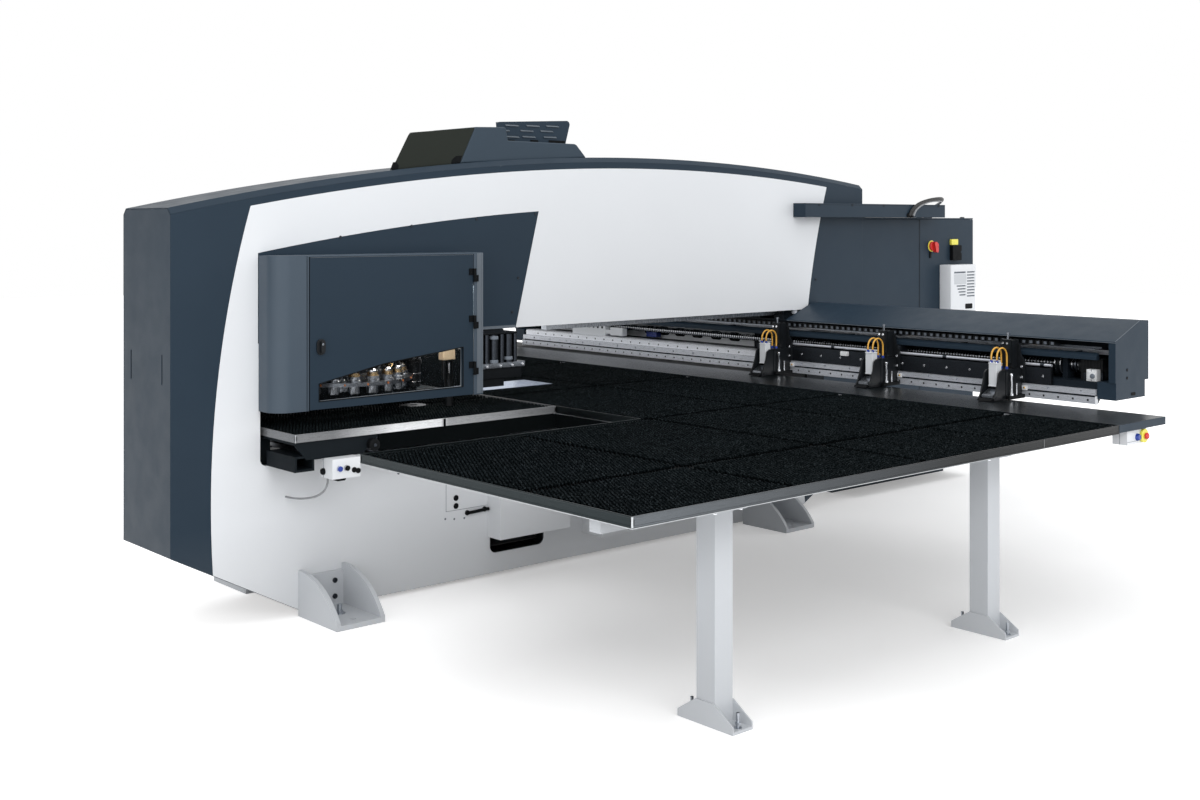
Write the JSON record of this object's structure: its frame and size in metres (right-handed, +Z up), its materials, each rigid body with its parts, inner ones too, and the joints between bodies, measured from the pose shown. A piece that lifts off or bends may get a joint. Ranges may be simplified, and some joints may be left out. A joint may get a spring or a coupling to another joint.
{
  "type": "cnc punch press",
  "caption": "Single head hydraulic sheet metal punching machine with a bridge frame, tool carousel, brush tables, clamp beam and control cabinet.",
  "frame": {"origin": "on the floor, at the centre of the four anchor bolt holes of the bridge frame", "axes": "+X along the bridge frame from the head to the control cabinet, +Y from the operator's side across the frame to the far side, +Z up"},
  "size_m": [6.495, 5.962, 2.55],
  "materials": {
    "frame_steel": "primed and painted welded plate",
    "slate_paint": "satin slate grey powder coat",
    "pale_paint": "semi gloss off white paint",
    "grey_paint": "satin light grey paint",
    "olive_paint": "semi gloss dark olive paint",
    "bright_steel": "ground steel",
    "dark_steel": "oiled dark steel",
    "chuck_brass": "turned brass",
    "trim_aluminium": "brushed natural aluminium",
    "brush_black": "dense black bristle",
    "black_plastic": "moulded black plastic",
    "blue_plastic": "moulded blue plastic",
    "red_plastic": "moulded red plastic",
    "yellow_plastic": "moulded yellow plastic",
    "window_glass": "tinted safety glass",
    "cable_black": "black cable sheath"
  },
  "bodies": {
    "frame": {"bridge_frame": "frame_steel", "frame_casings": "slate_paint", "top_cover": "slate_paint", "end_panels": "slate_paint", "frame_skins": "pale_paint", "anchor_feet": "grey_paint", "levelling_screws": "bright_steel", "hood_base": "slate_paint", "fan_hood": "olive_paint", "vent_hood": "slate_paint", "drive_motors": "black_plastic", "head_backing": "slate_paint", "head_covers": "slate_paint", "head_casting": "grey_paint", "carousel_posts": "bright_steel", "hinge_brackets": "dark_steel", "ram_cylinder": "frame_steel", "die_block": "dark_steel", "table_frames": "grey_paint", "table_trims": "trim_aluminium", "table_mats": "brush_black", "side_plates": "dark_steel", "table_legs": "grey_paint", "head_table": "slate_paint", "skin_boxes": "pale_paint", "carriage_rails": "bright_steel", "cabinet": "slate_paint", "cable_duct": "slate_paint", "control_cables": "cable_black", "control_boxes": "grey_paint"},
    "head_door": {"head_door": "slate_paint", "door_window": "window_glass", "hinge_leaves": "dark_steel"},
    "door_lock": {"door_lock": "black_plastic"},
    "ram": {"punch_ram": "bright_steel", "ram_chuck": "chuck_brass", "active_punch": "dark_steel"},
    "tool_carousel": {"tool_carousel": "bright_steel", "tool_holders": "bright_steel"},
    "die_carousel": {"die_carousel": "dark_steel"},
    "beam": {"beam": "grey_paint", "beam_covers": "slate_paint", "beam_rails": "bright_steel", "beam_motor": "black_plastic"},
    "beam_screw": {"beam_screw": "bright_steel"},
    "clamps": {"clamp_bar": "dark_steel", "clamp_bodies": "dark_steel", "clamp_cylinders": "pale_paint", "clamp_hoses": "yellow_plastic"},
    "clamp_jaw_1": {"clamp_jaw_1": "bright_steel"},
    "clamp_jaw_2": {"clamp_jaw_2": "bright_steel"},
    "clamp_jaw_3": {"clamp_jaw_3": "bright_steel"},
    "cabinet_door_left": {"cabinet_door_left": "slate_paint"},
    "cabinet_door_right": {"cabinet_door_right": "slate_paint", "air_conditioner": "pale_paint", "cabinet_fittings": "yellow_plastic"},
    "main_switch": {"main_switch": "red_plastic"},
    "start_button": {"start_button": "blue_plastic"},
    "stop_button": {"stop_button": "black_plastic"},
    "emergency_button": {"emergency_button": "red_plastic"}
  },
  "joints": [
    {"name": "head_door_hinge", "type": "hinge", "parent": "frame", "child": "head_door", "pos_m": [-0.791, -0.448, 1.41], "axis": [0, 0, 1], "range_deg": [0, 110]},
    {"name": "door_lock_turn", "type": "hinge", "parent": "head_door", "child": "door_lock", "pos_m": [-1.713, -0.439, 1.341], "axis": [0, 1, 0], "range_deg": [0, 90]},
    {"name": "ram_stroke", "type": "slide", "parent": "frame", "child": "ram", "axis": [0, 0, -1], "range_m": [0, 0.037]},
    {"name": "tool_carousel_index", "type": "hinge", "parent": "frame", "child": "tool_carousel", "pos_m": [-1.345, 0, 1.12], "axis": [0, 0, 1], "continuous": true},
    {"name": "die_carousel_index", "type": "hinge", "parent": "frame", "child": "die_carousel", "pos_m": [-1.345, 0, 0.8], "axis": [0, 0, 1], "continuous": true},
    {"name": "beam_slide", "type": "slide", "parent": "frame", "child": "beam", "axis": [-1, 0, 0], "range_m": [0, 2]},
    {"name": "clamp_slide", "type": "slide", "parent": "beam", "child": "clamps", "axis": [0, 1, 0], "range_m": [0, 2.45]},
    {"name": "beam_screw_turn", "type": "hinge", "parent": "beam", "child": "beam_screw", "pos_m": [2.01, -2, 1.15], "axis": [0, 1, 0], "range_deg": [0, 22060]},
    {"name": "clamp_jaw_1_hinge", "type": "hinge", "parent": "clamps", "child": "clamp_jaw_1", "pos_m": [1.69, -2.013, 1], "axis": [0, 1, 0], "range_deg": [0, 14]},
    {"name": "clamp_jaw_2_hinge", "type": "hinge", "parent": "clamps", "child": "clamp_jaw_2", "pos_m": [1.69, -1.149, 1], "axis": [0, 1, 0], "range_deg": [0, 14]},
    {"name": "clamp_jaw_3_hinge", "type": "hinge", "parent": "clamps", "child": "clamp_jaw_3", "pos_m": [1.69, -0.285, 1], "axis": [0, 1, 0], "range_deg": [0, 14]},
    {"name": "cabinet_door_left_hinge", "type": "hinge", "parent": "frame", "child": "cabinet_door_left", "pos_m": [2.739, -0.241, 1], "axis": [0, 0, -1], "range_deg": [0, 110]},
    {"name": "cabinet_door_right_hinge", "type": "hinge", "parent": "frame", "child": "cabinet_door_right", "pos_m": [4.081, -0.241, 1], "axis": [0, 0, 1], "range_deg": [0, 110]},
    {"name": "main_switch_turn", "type": "hinge", "parent": "cabinet_door_right", "child": "main_switch", "pos_m": [3.55, -0.25, 1.771], "axis": [0, 1, 0], "range_deg": [0, 90]},
    {"name": "start_button_press", "type": "slide", "parent": "frame", "child": "start_button", "axis": [0, 1, 0], "range_m": [0, 0.004], "stiffness_N_per_m": 500},
    {"name": "stop_button_press", "type": "slide", "parent": "frame", "child": "stop_button", "axis": [0, 1, 0], "range_m": [0, 0.004], "stiffness_N_per_m": 500},
    {"name": "emergency_button_press", "type": "slide", "parent": "frame", "child": "emergency_button", "axis": [0, 1, 0], "range_m": [0, 0.006]}
  ],
  "couplings": [
    {"joint": "die_carousel_index", "follows": "tool_carousel_index", "ratio": 1},
    {"joint": "beam_screw_turn", "follows": "clamp_slide", "rad_per_m": 157.08}
  ]
}
